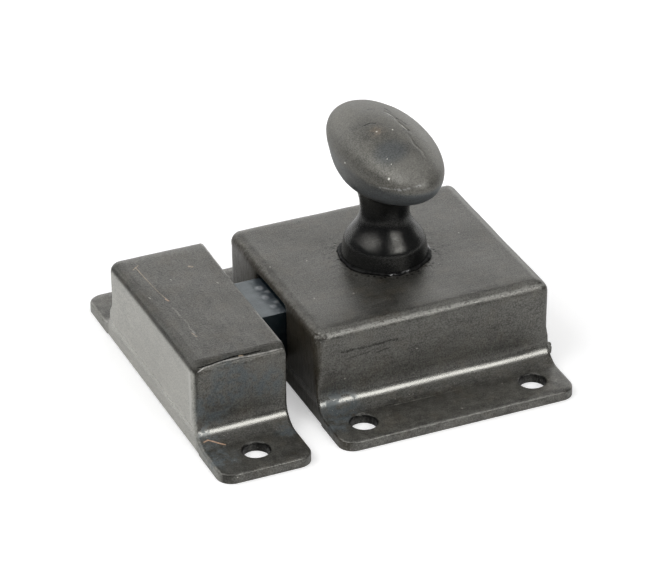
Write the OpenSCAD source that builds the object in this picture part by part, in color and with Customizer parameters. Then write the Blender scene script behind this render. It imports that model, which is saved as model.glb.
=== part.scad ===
// Surface-mounted cupboard latch: a folded steel case with a sprung bolt and an oval turn knob,
// and the folded steel keep that the bolt enters. The mounting plane is z = 0, the knob turns
// about an upright axis near the origin, and the bolt slides along x, with the keep on the -x side.

/* [Sheet] */
// Thickness of the folded sheet of case and keep
sheet = 1.6; // [1.2:0.1:2]
// Inside radius of the bends along the top edges
top_bend = 0.3; // [0.2:0.1:1]
// Radius of the hollow bend between wall and flange, on the outside
flange_bend = 3.4; // [2:0.2:4]
// Corner radius of the screw flanges
flange_corner = 2.5; // [1:0.5:4]
// Radius of the upright corners, where the folded flaps are welded to the walls
corner_r = 1.2; // [0.6:0.1:3]
// Lift of the end flaps above the mounting plane
flap_lift = 0.3; // [0.1:0.1:1]

/* [Case] */
// Width of the case along the bolt
case_w = 40; // [37:0.5:50]
// Depth of the case box across the bolt
case_d = 36; // [30:0.5:46]
// Height of the case above the mounting plane
case_h = 15.4; // [14.6:0.1:17]
// Width of each screw flange, from the wall to its outer edge
case_flange = 10.5; // [9:0.5:14]

/* [Keep] */
// Gap between case and keep
gap = 5; // [2:0.5:7]
// Width of the keep along the bolt
keep_w = 15.5; // [12:0.5:24]
// Depth of the keep box across the bolt
keep_d = 36; // [30:0.5:46]
// Height of the keep above the mounting plane
keep_h = 14.8; // [14:0.1:16]
// Width of each screw flange of the keep
keep_flange = 11.25; // [9:0.25:14]

/* [Screw holes] */
// Radius of the screw holes
hole_r = 2.1; // [1.6:0.1:2.6]
// Softened lip round the top of each hole
hole_lip = 0.3; // [0.1:0.1:0.5]
// From the outer edge of a case flange to its hole centres
hole_edge = 5; // [4:0.25:6]
// From the end of a case flange to its hole centres
hole_end = 5.5; // [4:0.5:10]
// From the outer edge of a keep flange to its hole centre
keep_hole_edge = 5.25; // [4:0.25:6]

/* [Bolt] */
// Width of the bolt
bolt_w = 11.4; // [9:0.2:14]
// Thickness of the bolt
bolt_t = 8; // [6:0.5:9]
// How far the bolt reaches into the keep at rest
bolt_catch = 5.5; // [3:0.5:6]
// Thickness left at the tip of the bevelled nose
nose_tip = 2.2; // [1:0.2:4]
// Gap between the top of the bolt and the keep that holds it
strike_gap = 0.3; // [0.2:0.1:0.6]
// Gap between the top of the bolt and the upper edge of its slot
slot_gap = 0.6; // [0.3:0.1:0.7]
// Thickness of the slotted tail plate
tail_t = 3; // [2:0.5:4]

/* [Knob] */
// Radius of the round foot
foot_r = 7; // [5.5:0.25:9]
// Height of the foot
foot_h = 2.4; // [1.5:0.1:3]
// Draft of the foot, from its bottom to its top
foot_draft = 0.36; // [0:0.06:0.6]
// Smallest radius of the neck
neck_r = 3.9; // [3.4:0.1:5]
// Height of the narrowest place above the foot
neck_h = 6.1; // [5:0.1:8]
// Half the width of the oval head
head_b = 7.65; // [6.5:0.05:10]
// Half the length of the oval head
head_a = 14.9; // [11:0.1:18]
// Height of the head's widest line above the neck
girth_h = 10; // [8:0.5:12]
// Depth of the head below its widest line
belly = 5.45; // [4:0.05:7]
// Rise of the head above its widest line
crown = 4.95; // [3:0.05:7]

/* [Spindle and crank] */
// Distance of the spindle behind the middle of the case
spindle_y = 0.8; // [-1:0.1:1]
// Radius of the spindle where it turns in the case
journal_r = 3; // [3:0.1:3.6]
// Radius of the shank pressed into the knob
shank_r = 2.2; // [1.8:0.1:2.6]
// Length of the shank in the knob
shank_l = 11; // [6:0.5:14]
// Radius of the spindle below the crank
post_r = 2; // [1.6:0.1:2]
// Thickness of the crank plate
crank_t = 2.4; // [1.6:0.2:3]
// Distance from the spindle to the crank pin
crank_r = 7; // [6:0.5:7.5]
// Radius of the crank pin
pin_r = 1.6; // [1.2:0.1:1.8]
// Angle that the knob turns through, in degrees
swing = 60; // [50:5:65]
// Radius of the washer under the bolt's tail
washer_r = 5.2; // [4:0.2:6]
// Thickness of that washer
washer_t = 0.8; // [0.5:0.1:1.2]

/* [Spring] */
// Mean radius of the coils
coil_r = 2.2; // [2:0.1:2.6]
// Radius of the spring wire
wire_r = 0.25; // [0.2:0.05:0.3]
// Number of turns
turns = 8; // [5:1:9]

/* [Back plate] */
// Thickness of the plate that closes the underside
plate_t = 1.2; // [0.8:0.1:1.6]
// Inside radius of the bends of its lugs
plate_bend = 0.6; // [0.3:0.1:1.2]
// Width of each lug along the bolt
lug_w = 16; // [8:1:24]
// Height of the lugs
lug_h = 9; // [7:0.5:10]

/* [Hidden] */
$fn = 48;

// Clearances: turning fit, sliding fit, space between stacked pieces, press fit
run_gap = 0.05;
slide_gap = 0.15;
stack_gap = 0.3;
press_gap = 0.02;
// Overshoot of cutting shapes
over = 1;

top_bend_out = top_bend + sheet;
flange_bend_under = flange_bend + sheet;
// How far the lifted foot of a flap runs out under each flange bend, which the flap closes
flap_step = 0.1;
flap_rise = flap_lift + flap_step;
flap_foot = flange_bend_under - sqrt(flap_rise * (2 * flange_bend_under - flap_rise));
case_span = case_d + 2 * case_flange;
keep_span = keep_d + 2 * keep_flange;
keep_x = -case_w / 2 - gap - keep_w / 2;
inner_x = case_w / 2 - sheet;
inner_y = case_d / 2 - sheet;

// Stack on the spindle, from the case top down to the riveted end
knob_z = case_h + slide_gap;
crank_z1 = case_h - sheet - stack_gap;
crank_z0 = crank_z1 - crank_t;
tail_z1 = crank_z0 - stack_gap;
tail_z0 = tail_z1 - tail_t;
washer_z1 = tail_z0 - stack_gap;
washer_z0 = washer_z1 - washer_t;
rivet_h = 1.1;
rivet_lip = 0.8;
rivet_r = post_r + rivet_lip;

// The crank pin starts half the swing short of the y axis and ends as far past it
pin_angle = 90 + swing / 2;
pin_x = crank_r * cos(pin_angle);
pin_y = spindle_y + crank_r * sin(pin_angle);
pin_reach = spindle_y + crank_r;
travel = -2 * pin_x;
tang = journal_r * sqrt(2) - run_gap;
hub_wall = 2;
hub_r = tang / sqrt(2) + hub_wall;
boss_wall = 1.9;
boss_r = pin_r + boss_wall;

// Bolt: flat top under the keep's roof, bevelled underside, slotted tail round the spindle
bolt_z1 = min(keep_h, case_h) - sheet - strike_gap;
bolt_z0 = bolt_z1 - bolt_t;
bolt_tip = -case_w / 2 - gap - bolt_catch;
bevel_past = 0.6;
bevel_run = bolt_catch + bevel_past;
bolt_rear = -(hub_r + travel + stack_gap);
tail_web = 2.2;
tail_half = pin_reach + pin_r + slide_gap + tail_web;
tail_front = -inner_x + slide_gap;
tail_past = 1;
tail_rear = max(post_r + stack_gap + tail_web, hub_r) + tail_past;
spigot_l = 2.4;
spigot_step = 0.1;
spigot_r = tail_t / 2 - spigot_step;
slot_corner = 0.8;
keep_mouth = 4 * top_bend_out;

// Knob heights above its foot
neck_z = foot_h + neck_h;
girth_z = neck_z + girth_h;

// Rectangle standing on the x axis with its two upper corners rounded
module arch(w, h, r) {
    translate([-w / 2, 0]) square([w, h - r]);
    translate([r - w / 2, 0]) square([w - 2 * r, h]);
    for (side = [-1, 1])
        translate([side * (w / 2 - r), h - r]) circle(r);
}

// Rectangle centred on the origin with all corners rounded
module plate_outline(w, d, r) {
    square([w - 2 * r, d], center = true);
    square([w, d - 2 * r], center = true);
    for (x = [-1, 1], y = [-1, 1])
        translate([x * (w / 2 - r), y * (d / 2 - r)]) circle(r);
}

// Slot with round ends between two points
module round_slot(p, q, r) {
    run = norm(q - p);
    translate(p) rotate(atan2(q.y - p.y, q.x - p.x)) {
        translate([0, -r]) square([run, 2 * r]);
        circle(r);
        translate([run, 0]) circle(r);
    }
}

// A profile in y and z, extruded along x
module along_x(l) {
    rotate([90, 0, 90]) linear_extrude(l, center = true) children();
}

// A profile in x and z, extruded along y
module along_y(l) {
    rotate([90, 0, 0]) linear_extrude(l, center = true) children();
}

// Corner between two lines at right angles, cut back to the arc of a bend
module bend_corner(r, side) {
    difference() {
        translate([side < 0 ? -r : 0, 0]) square(r);
        translate([side * r, r]) circle(r);
    }
}

// Outside of a hat profile: box with rounded top, flanges and hollow bends
module hat_outside(d, h, flange) {
    arch(d, h, top_bend_out);
    translate([-d / 2 - flange, 0]) square([d + 2 * flange, sheet]);
    for (side = [-1, 1])
        translate([side * d / 2, sheet]) bend_corner(flange_bend, side);
}

// One folded sheet: hat profile along x, end flaps folded down from the top.
// A mouth longer than 0 carries the top on past the +x end, which leaves that end open.
module folded_cover(w, d, h, flange, mouth) {
    difference() {
        intersection() {
            along_x(w) hat_outside(d, h, flange);
            along_y(d + 2 * flange + over)
                translate([mouth / 2, 0]) arch(w + mouth, h, top_bend_out);
            union() {
                linear_extrude(sheet + flange_bend)
                    plate_outline(w, d + 2 * flange, flange_corner);
                linear_extrude(h + over)
                    translate([mouth / 2, 0]) plate_outline(w + mouth, d, corner_r);
            }
        }
        intersection() {
            along_x(w + 2 * mouth) arch(d - 2 * sheet, h - sheet, top_bend);
            along_y(d) translate([mouth / 2, 0]) arch(w + mouth - 2 * sheet, h - sheet, top_bend);
        }
        for (side = [-1, 1])
            translate([mouth, side * (d / 2 - sheet), 0])
                along_x(w + 2 * (mouth - sheet)) bend_corner(flange_bend_under, side);
        translate([0, 0, flap_lift / 2 - over / 2])
            cube([w + over, d - 2 * sheet + 2 * flap_foot, flap_lift + over], center = true);
    }
}

// Screw hole through a flange, with a softened upper lip
module screw_hole() {
    translate([0, 0, -over]) cylinder(r = hole_r, h = sheet + 2 * over);
    translate([0, 0, sheet - hole_lip])
        cylinder(r1 = hole_r, r2 = hole_r + 2 * hole_lip, h = 2 * hole_lip);
}

module case() {
    hole_x = case_w / 2 - hole_end;
    hole_y = case_span / 2 - hole_edge;
    slot_h = slide_gap + bolt_t + slot_gap;
    color("#3b3a36")
    difference() {
        folded_cover(case_w, case_d, case_h, case_flange, 0);
        for (x = [-hole_x, hole_x], y = [-hole_y, hole_y])
            translate([x, y, 0]) screw_hole();
        translate([-case_w / 2, 0, bolt_z0 - slide_gap])
            along_x(4 * sheet) arch(bolt_w + 2 * slide_gap, slot_h, slot_corner);
        translate([0, spindle_y, case_h - 2 * sheet])
            cylinder(r = journal_r + run_gap, h = 3 * sheet);
    }
}

module back_plate() {
    wide = 2 * (inner_y - press_gap);
    bend_out = plate_bend + plate_t;
    color("#55534d") {
        translate([0, 0, flap_lift + lug_h]) mirror([0, 0, 1]) along_x(lug_w)
            difference() {
                arch(wide, lug_h, bend_out);
                translate([0, -over])
                    arch(wide - 2 * plate_t, lug_h - plate_t + over, plate_bend);
            }
        translate([0, 0, flap_lift + plate_t / 2])
            cube([2 * (inner_x - stack_gap), wide - 2 * bend_out, plate_t], center = true);
    }
}

module keep() {
    hole_y = keep_span / 2 - keep_hole_edge;
    color("#3b3a36")
    translate([keep_x, 0, 0])
    difference() {
        folded_cover(keep_w, keep_d, keep_h, keep_flange, keep_mouth);
        for (y = [-hole_y, hole_y])
            translate([0, y, 0]) screw_hole();
    }
}

// Smooth step from 0 to 1, and a value held between 0 and 1
function ease(t) = t * t * (3 - 2 * t);
function within(t) = max(0, min(1, t));

// Radius of foot, waist and flaring neck at height z above the foot's bottom
waist_power = 1.35;
neck_flare = 1;
function stem_r(z) =
    z <= foot_h ? foot_r - foot_draft * z / foot_h :
    z <= neck_z ? neck_r + (foot_r - foot_draft - neck_r)
        * ease(pow((neck_z - z) / neck_h, waist_power)) :
    neck_r + neck_flare * pow((z - neck_z) / (girth_h / 2), 2);

// Square of the head's half axis as a share of its girth, with a soft start on the underside
head_blend = 0.25;
function soft(s) = (s + sqrt(s * s + head_blend * head_blend)) / 2;
function head_share(z) =
    z > girth_z ? max(0, 1 - pow((z - girth_z) / crown, 2)) :
    soft(1 - pow((z - girth_z) / belly, 2)) / soft(1);

// Half axis of the knob's section at height z, where the head's girth has half axis r
function knob_axis(r, z) =
    z >= girth_z ? r * sqrt(head_share(z)) :
    norm([r * sqrt(head_share(z)) * ease(within(z / neck_z)),
        stem_r(z) * ease(within((girth_z - z) / belly))]);

// Lofted casting: rings from the foot to the girth, then over the crown to the apex
module knob_body() {
    sides = 64;
    waist_rings = 26;
    crown_rings = 11;
    heights = concat(
        [0, foot_h / 2],
        [for (i = [0 : waist_rings]) foot_h + (girth_z - foot_h) * i / waist_rings],
        [for (i = [1 : crown_rings - 1]) girth_z + crown * sin(90 * i / crown_rings)]);
    last = len(heights) - 1;
    apex = len(heights) * sides;
    points = concat(
        [for (z = heights, i = [0 : sides - 1])
            [knob_axis(head_b, z) * cos(360 * i / sides),
             knob_axis(head_a, z) * sin(360 * i / sides), z]],
        [[0, 0, girth_z + crown]]);
    faces = concat(
        [[for (i = [0 : sides - 1]) i]],
        [for (k = [0 : last - 1], i = [0 : sides - 1])
            let (n = (i + 1) % sides, a = k * sides, b = a + sides)
            each [[a + i, b + i, b + n], [a + i, b + n, a + n]]],
        [for (i = [0 : sides - 1]) [last * sides + i, apex, last * sides + (i + 1) % sides]]);
    polyhedron(points, faces);
}

module knob() {
    color("#2c2b29")
    translate([0, spindle_y, knob_z])
    difference() {
        knob_body();
        translate([0, 0, -over])
            cylinder(r = shank_r + press_gap, h = shank_l + stack_gap + over);
    }
}

module spindle() {
    color("#6a6964")
    translate([0, spindle_y, 0]) {
        translate([0, 0, knob_z]) cylinder(r = shank_r, h = shank_l);
        translate([0, 0, crank_z1]) cylinder(r = journal_r, h = knob_z - crank_z1);
        translate([-tang / 2, -tang / 2, crank_z0]) cube([tang, tang, crank_t]);
        translate([0, 0, washer_z0]) cylinder(r = post_r, h = crank_z0 - washer_z0);
        translate([0, 0, washer_z0 - rivet_h])
            cylinder(r1 = post_r, r2 = rivet_r, h = rivet_h);
    }
}

// Lever outline: hub and pin boss joined by straight sides, just inside their common tangents
module crank_outline() {
    lean = acos((hub_r - boss_r) / crank_r);
    hub_side = hub_r - press_gap;
    boss_side = boss_r - press_gap;
    circle(hub_r);
    translate([crank_r, 0]) circle(boss_r);
    polygon([
        hub_side * [cos(lean), sin(lean)],
        hub_side * [cos(lean), -sin(lean)],
        [crank_r + boss_side * cos(lean), -boss_side * sin(lean)],
        [crank_r + boss_side * cos(lean), boss_side * sin(lean)]
    ]);
}

module crank_plate() {
    color("#5d5c57")
    translate([0, 0, crank_z0])
    linear_extrude(crank_t)
    difference() {
        translate([0, spindle_y]) rotate(pin_angle) crank_outline();
        translate([0, spindle_y]) square(tang + 2 * press_gap, center = true);
        translate([pin_x, pin_y]) circle(pin_r + press_gap);
    }
}

module crank_pin() {
    color("#77766f")
    translate([pin_x, pin_y, tail_z0])
    cylinder(r = pin_r, h = crank_z1 - tail_z0);
}

module spindle_washer() {
    color("#77766f")
    translate([0, spindle_y, washer_z0])
    difference() {
        cylinder(r = washer_r, h = washer_t);
        translate([0, 0, -over])
            cylinder(r = post_r + press_gap, h = washer_t + 2 * over);
    }
}

module bolt() {
    pin_half = pin_r + slide_gap;
    color("#3d4247") {
        along_y(bolt_w) polygon([
            [bolt_tip, bolt_z1],
            [bolt_tip, bolt_z1 - nose_tip],
            [bolt_tip + bevel_run, bolt_z0],
            [bolt_rear, bolt_z0],
            [bolt_rear, bolt_z1]
        ]);
        translate([0, 0, tail_z0]) linear_extrude(tail_t) difference() {
            translate([tail_front, -tail_half])
                square([tail_rear - tail_front, 2 * tail_half]);
            round_slot([-travel, spindle_y], [0, spindle_y], post_r + slide_gap);
            round_slot([pin_x, pin_y - slide_gap], [pin_x, pin_reach + slide_gap], pin_half);
        }
        translate([tail_rear - over, 0, tail_z0 + tail_t / 2])
            rotate([0, 90, 0]) cylinder(r = spigot_r, h = spigot_l + over);
    }
}

// Coil spring along x, with closed end turns, swept as a ring of points round a helix
module spring() {
    sides = 8;
    steps = 14;
    rest = 0.6;
    x0 = tail_rear + wire_r + press_gap;
    x1 = inner_x - wire_r - press_gap;
    rings = turns * steps;
    function along(u) = x0 + (x1 - x0) * within((u - rest) / (turns - 2 * rest));
    function wire_point(u, a) =
        let (r = coil_r + wire_r * cos(a))
        [along(u) + wire_r * sin(a), r * cos(360 * u), r * sin(360 * u)];
    points = [for (k = [0 : rings], i = [0 : sides - 1])
        wire_point(k / steps, 360 * i / sides)];
    faces = concat(
        [[for (i = [0 : sides - 1]) i]],
        [for (k = [0 : rings - 1], i = [0 : sides - 1])
            let (n = (i + 1) % sides, a = k * sides, b = a + sides)
            each [[a + i, b + i, b + n], [a + i, b + n, a + n]]],
        [[for (i = [sides - 1 : -1 : 0]) rings * sides + i]]);
    color("#8a8983")
    translate([0, 0, tail_z0 + tail_t / 2])
    polyhedron(points, faces);
}

case();
back_plate();
keep();
knob();
spindle();
crank_plate();
crank_pin();
spindle_washer();
bolt();
spring();
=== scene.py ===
import math

import bmesh
import bpy
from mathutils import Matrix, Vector, noise


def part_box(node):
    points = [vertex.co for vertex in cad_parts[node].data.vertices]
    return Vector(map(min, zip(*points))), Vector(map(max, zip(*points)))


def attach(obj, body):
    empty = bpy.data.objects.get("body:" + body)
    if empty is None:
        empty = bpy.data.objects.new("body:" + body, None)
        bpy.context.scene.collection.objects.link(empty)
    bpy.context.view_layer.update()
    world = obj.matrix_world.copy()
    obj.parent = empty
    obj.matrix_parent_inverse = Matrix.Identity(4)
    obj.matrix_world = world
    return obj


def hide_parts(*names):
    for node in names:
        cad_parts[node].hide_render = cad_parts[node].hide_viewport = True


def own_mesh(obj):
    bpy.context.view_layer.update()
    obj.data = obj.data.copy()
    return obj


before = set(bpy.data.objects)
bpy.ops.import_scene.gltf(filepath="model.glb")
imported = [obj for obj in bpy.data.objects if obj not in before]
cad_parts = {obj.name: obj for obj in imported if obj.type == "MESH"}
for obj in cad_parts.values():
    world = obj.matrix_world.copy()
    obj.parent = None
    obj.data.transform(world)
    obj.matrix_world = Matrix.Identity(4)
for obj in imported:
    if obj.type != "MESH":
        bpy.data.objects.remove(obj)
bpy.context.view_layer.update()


# Case
# One mild steel sheet folded to a hat, with a screw flange on each long side and a flap at
# each end, welded and ground at its upright corners, then blackened and rubbed with dark wax.
MM = 0.001
NEAR = 0.01 * MM
SHEET = 1.6 * MM
CASE_FOLD = 1.9 * MM
FLANGE_BEND = 3.4 * MM
FLANGE_CORNER = 2.5 * MM
FLAP_LIFT = 0.3 * MM
CASE_EDGE = 0.32 * MM
HOLE_RADIUS = 2.1 * MM
HOLE_LIP = 0.35 * MM
case_low, case_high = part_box("case")
CASE_FLANGE = 10.5 * MM
CASE_HOLE_EDGE = 5 * MM
CASE_HOLE_END = 5.5 * MM
SLOT_HALF = 5.85 * MM
SLOT_LOW = 4.75 * MM
SLOT_HIGH = 13.9 * MM
SLOT_CORNER = 0.8 * MM
SPINDLE_Y = 0.8 * MM
SPINDLE_HOLE = 3.05 * MM
SLOT_LIP = 0.35 * MM
GRID = 1.6 * MM
FILE_DEPTHS = (0.25 * MM, 0.6 * MM, 1.0 * MM, 1.45 * MM, 1.95 * MM)
FILE_LOW = 4.6 * MM
FILE_BLEND = 3 * MM


def settle(name):
    """Names the primitive just made and puts its place, turn and size in its mesh."""
    made = bpy.context.object
    made.name = name
    bpy.ops.object.transform_apply(location=True, rotation=True, scale=True)
    return made


def new_block(name, low, high):
    """A cube primitive that fills the box from low to high."""
    low, high = Vector(low), Vector(high)
    bpy.ops.mesh.primitive_cube_add(size=1, location=(low + high) / 2)
    bpy.context.object.scale = high - low
    return settle(name)


def new_rod(name, radius, start, end, sides=48):
    """A cylinder primitive from start to end."""
    start, end = Vector(start), Vector(end)
    turn = (end - start).to_track_quat("Z", "Y").to_euler()
    bpy.ops.mesh.primitive_cylinder_add(
        vertices=sides, radius=radius, depth=(end - start).length, location=(start + end) / 2, rotation=turn)
    return settle(name)


def choose(piece):
    """Selects one piece alone and makes it active."""
    bpy.ops.object.select_all(action="DESELECT")
    piece.select_set(True)
    bpy.context.view_layer.objects.active = piece


def edit(piece):
    """Opens one piece in edit mode."""
    choose(piece)
    bpy.ops.object.mode_set(mode="EDIT")


def close_edit():
    bpy.ops.object.mode_set(mode="OBJECT")


def pick(kind, test):
    """Selects the faces or edges of the piece in edit mode that pass the test."""
    mesh = bpy.context.object.data
    bpy.ops.mesh.select_mode(type={"edges": "EDGE", "faces": "FACE"}[kind])
    bpy.ops.mesh.select_all(action="DESELECT")
    shape = bmesh.from_edit_mesh(mesh)
    for item in getattr(shape, kind):
        if test(item):
            item.select_set(True)
    bmesh.update_edit_mesh(mesh)


def same(a, b):
    return abs(a - b) < NEAR


def ends(edge):
    return [corner.co for corner in edge.verts]


def runs(edge, axis):
    """Whether an edge has length along an axis: 0, 1 or 2 for x, y or z."""
    start, end = ends(edge)
    return not same(start[axis], end[axis])


def round_edges(test, radius, segments):
    """Rounds the edges that pass the test, in edit mode."""
    pick("edges", test)
    bpy.ops.mesh.bevel(offset=radius, segments=segments, profile=0.5, affect="EDGES", clamp_overlap=False)


def pull(x, y, z):
    """Extrudes the selected faces, in edit mode."""
    bpy.ops.mesh.extrude_region_move(TRANSFORM_OT_translate={"value": (x, y, z)})


def join_flat(angle):
    """Joins the faces that lie in one plane within this angle, in edit mode."""
    bpy.ops.mesh.select_all(action="SELECT")
    bpy.ops.mesh.dissolve_limited(angle_limit=math.radians(angle))


def use(piece, kind, **settings):
    """Adds a modifier with these settings and applies it."""
    choose(piece)
    step = piece.modifiers.new(kind.lower(), kind)
    for name, value in settings.items():
        setattr(step, name, value)
    bpy.ops.object.modifier_apply(modifier=step.name)


def cut(piece, cutter):
    """Cuts the cutter out of the piece and removes it."""
    use(piece, "BOOLEAN", operation="DIFFERENCE", solver="EXACT", object=cutter)
    bpy.data.objects.remove(cutter)


def mix(a, b, share):
    return a + (b - a) * max(0.0, min(1.0, share))


def smooth(share):
    share = max(0.0, min(1.0, share))
    return share * share * (3 - 2 * share)


def score(piece, axis, places):
    """Crosses the piece with cuts square to one axis, so that it can be worked there."""
    edit(piece)
    for at in places:
        bpy.ops.mesh.select_all(action="SELECT")
        bpy.ops.mesh.bisect(plane_co=[at if axis == n else 0.0 for n in range(3)],
                            plane_no=[float(axis == n) for n in range(3)])
    close_edit()


def hat_block(name, low, high, flange, fold):
    """A solid hat: a block with a flange along each long side, hollow bends and a rounded top."""
    wall = high.y - flange
    hat = new_block(name, (low.x, -wall, low.z), (high.x, wall, high.z))
    score(hat, 2, [SHEET])
    edit(hat)
    for side in (-1, 1):
        pick("faces", lambda f: f.normal.y * side > 0.9 and f.calc_center_median().z < SHEET)
        pull(0, side * flange, 0)
    join_flat(1)
    round_edges(lambda e: all(same(abs(p.y), wall) and same(p.z, SHEET) for p in ends(e)), FLANGE_BEND, 10)
    round_edges(
        lambda e: not runs(e, 1) and all(same(abs(p.y), wall) and same(p.z, high.z) for p in ends(e)),
        fold, 7)
    round_edges(lambda e: runs(e, 2) and all(same(abs(p.y), high.y) for p in ends(e)), FLANGE_CORNER, 8)
    close_edit()
    return hat


def soften_ends(hat, low, high, radius):
    """Rounds the sheet's own edge, round both ends and along both flanges."""
    edit(hat)
    round_edges(
        lambda e: min(p.z for p in ends(e)) > SHEET / 2 and e.calc_face_angle(0.0) > 0.1
        and (all(same(p.x, low.x) for p in ends(e)) or all(same(p.x, high.x) for p in ends(e))
             or all(same(p.z, SHEET) and abs(p.y) > high.y - FLANGE_CORNER - NEAR for p in ends(e))),
        radius, 3)
    close_edit()


def hollow_out(hat, low, high, flange, open_end):
    """Leaves one sheet's thickness of a hat: walls, top, flaps clear of the ground, and bent flanges."""
    inside = high.y - flange - SHEET
    bend = FLANGE_BEND + SHEET
    past = SHEET if open_end else -SHEET
    rest = inside + 0.65 * bend
    cut(hat, new_block("hollow", (low.x + SHEET, -inside, -SHEET), (high.x + past, inside, high.z - SHEET)))
    for side in (-1, 1):
        near, far = sorted((side * (inside - NEAR), side * (inside + 0.95 * bend)))
        under = new_block("under_bend", (low.x + SHEET, near, -SHEET), (high.x + past, far, bend))
        middle = side * (inside + bend)
        cut(under, new_rod("bend", bend, (low.x - bend, middle, bend), (high.x + bend, middle, bend), 64))
        cut(hat, under)
    cut(hat, new_block("lift", (low.x - SHEET, -rest, -SHEET), (high.x + SHEET, rest, FLAP_LIFT)))


def drill(hat, x, y):
    """Drills a screw hole through a flange and softens its upper lip."""
    cut(hat, new_rod("hole", HOLE_RADIUS, (x, y, -SHEET), (x, y, 2 * SHEET)))
    edit(hat)
    round_edges(
        lambda e: all(same(math.hypot(p.x - x, p.y - y), HOLE_RADIUS) and same(p.z, SHEET) for p in ends(e)),
        HOLE_LIP, 3)
    close_edit()


def lay_grid(piece, low, high, flange):
    """Crosses a hat with even cuts, and closer ones where its folds and corners are filed."""
    wall = high.y - flange
    for axis in range(3):
        length = high[axis] - low[axis]
        cuts = int(length / GRID)
        score(piece, axis, [low[axis] + length * (k + 0.37) / (cuts + 0.5) for k in range(1, cuts)])
    for depth in FILE_DEPTHS:
        score(piece, 0, [low.x + depth, high.x - depth])
        score(piece, 1, [depth - wall, wall - depth])
        score(piece, 2, [high.z - depth])


def file_end(place, low, high, flange, fold, folds, corners):
    """The push that rounds a hat's end: the fold along its top and its upright corners."""
    wall = high.y - flange
    end = -1 if place.x < (low.x + high.x) / 2 else 1
    side = math.copysign(1, place.y)
    past_y = abs(place.y) - wall + fold
    past_z = place.z - high.z + fold
    if past_y > 0 and past_z > 0:
        out = Vector((0, side * past_y, past_z)).normalized()
        depth = fold - math.hypot(past_y, past_z)
    elif wall - abs(place.y) < high.z - place.z:
        out, depth = Vector((0, side, 0)), wall - abs(place.y)
    else:
        out, depth = Vector((0, 0, 1)), high.z - place.z
    radius = mix(corners[end, side], folds[end], out.z ** 2) * smooth((place.z - FILE_LOW) / FILE_BLEND)
    across = radius - depth
    along = radius - (high.x - place.x if end > 0 else place.x - low.x)
    reach = math.hypot(across, along)
    if depth < -NEAR or across <= 0 or along <= 0 or reach <= radius:
        return Vector()
    return (out * across + Vector((end, 0, 0)) * along) * (radius / reach - 1)


def work(piece, move):
    """Moves each point by what move gives for its place and normal, as a hammer or a file would."""
    pushes = [move(v.co.copy(), v.normal.copy()) for v in piece.data.vertices]
    for v, push in zip(piece.data.vertices, pushes):
        v.co += push
    piece.data.update()


def finish_mesh(piece, angle=38):
    """Merges doubles, points the faces outwards and shades the bends smooth."""
    edit(piece)
    bpy.ops.mesh.select_all(action="SELECT")
    bpy.ops.mesh.remove_doubles(threshold=0.2 * NEAR)
    bpy.ops.mesh.dissolve_degenerate(threshold=0.2 * NEAR)
    bpy.ops.mesh.normals_make_consistent(inside=False)
    close_edit()
    bpy.ops.object.shade_smooth_by_angle(angle=math.radians(angle))


# Radii by end, and by end and side: the end over the bolt is folded sharper, its back corner ground rounder
CASE_FOLDS = {-1: 1.6 * MM, 1: CASE_FOLD}
CASE_CORNERS = {(-1, -1): 1.6 * MM, (-1, 1): 2.5 * MM, (1, -1): 1.2 * MM, (1, 1): 1.2 * MM}
case = hat_block("latch_case", case_low, case_high, CASE_FLANGE, CASE_FOLD)
soften_ends(case, case_low, case_high, CASE_EDGE)
hollow_out(case, case_low, case_high, CASE_FLANGE, open_end=False)
for hole_x in (case_low.x + CASE_HOLE_END, case_high.x - CASE_HOLE_END):
    for hole_y in (case_low.y + CASE_HOLE_EDGE, case_high.y - CASE_HOLE_EDGE):
        drill(case, hole_x, hole_y)
slot_low = (case_low.x - SHEET, -SLOT_HALF, SLOT_LOW)
slot = new_block("slot", slot_low, (case_low.x + 2 * SHEET, SLOT_HALF, SLOT_HIGH))
edit(slot)
round_edges(lambda e: runs(e, 0) and all(same(p.z, SLOT_HIGH) for p in ends(e)), SLOT_CORNER, 5)
close_edit()
cut(case, slot)
edit(case)
round_edges(
    lambda e: all(same(p.x, case_low.x) and abs(p.y) < SLOT_HALF + NEAR and p.z > SLOT_LOW - NEAR
                  for p in ends(e)), SLOT_LIP, 4)
close_edit()
journal_low = (0, SPINDLE_Y, case_high.z - 2 * SHEET)
cut(case, new_rod("journal", SPINDLE_HOLE, journal_low, (0, SPINDLE_Y, case_high.z + SHEET)))
lay_grid(case, case_low, case_high, CASE_FLANGE)

WELD_AT = Vector((-19.4, -17.6, 14.7)) * MM
WELD_REACH = 3.2 * MM
WELD_ROUGH = 0.17 * MM
SLACK_WAVE = 0.10 * MM
SLACK_RIPPLE = 0.03 * MM
FLAP_FLARE = 0.9 * MM
FLARE_HIGH = 4.6 * MM
edit(case)
pick("faces", lambda f: (f.calc_center_median() - WELD_AT).length < WELD_REACH)
bpy.ops.mesh.subdivide(number_cuts=3)
close_edit()


def slack(place, normal, wide, fine, share=1.0):
    """The waves of a slack sheet, of two lengths, that die out towards the ground."""
    skin = share * smooth((place.z - 0.6 * MM) / (1.2 * MM))
    push = normal * SLACK_WAVE * skin * noise.noise(place / wide)
    return push + normal * SLACK_RIPPLE * skin * noise.noise(place / fine)


def work_case(place, normal):
    """Slack sheet, a rough weld at one corner, and an end flap that stands out a little at its foot."""
    push = slack(place, normal, 9 * MM, 2.6 * MM)
    push += file_end(place, case_low, case_high, CASE_FLANGE, CASE_FOLD, CASE_FOLDS, CASE_CORNERS)
    weld = smooth(1 - (place - WELD_AT).length / WELD_REACH)
    push += normal * WELD_ROUGH * weld * noise.noise(place / (0.75 * MM))
    if place.x > case_high.x - 1.5 * SHEET and abs(place.y) < case_high.y - CASE_FLANGE - 0.9 * SHEET:
        push.x += FLAP_FLARE * max(0, 1 - place.z / FLARE_HIGH) ** 1.5
    return push


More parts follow.
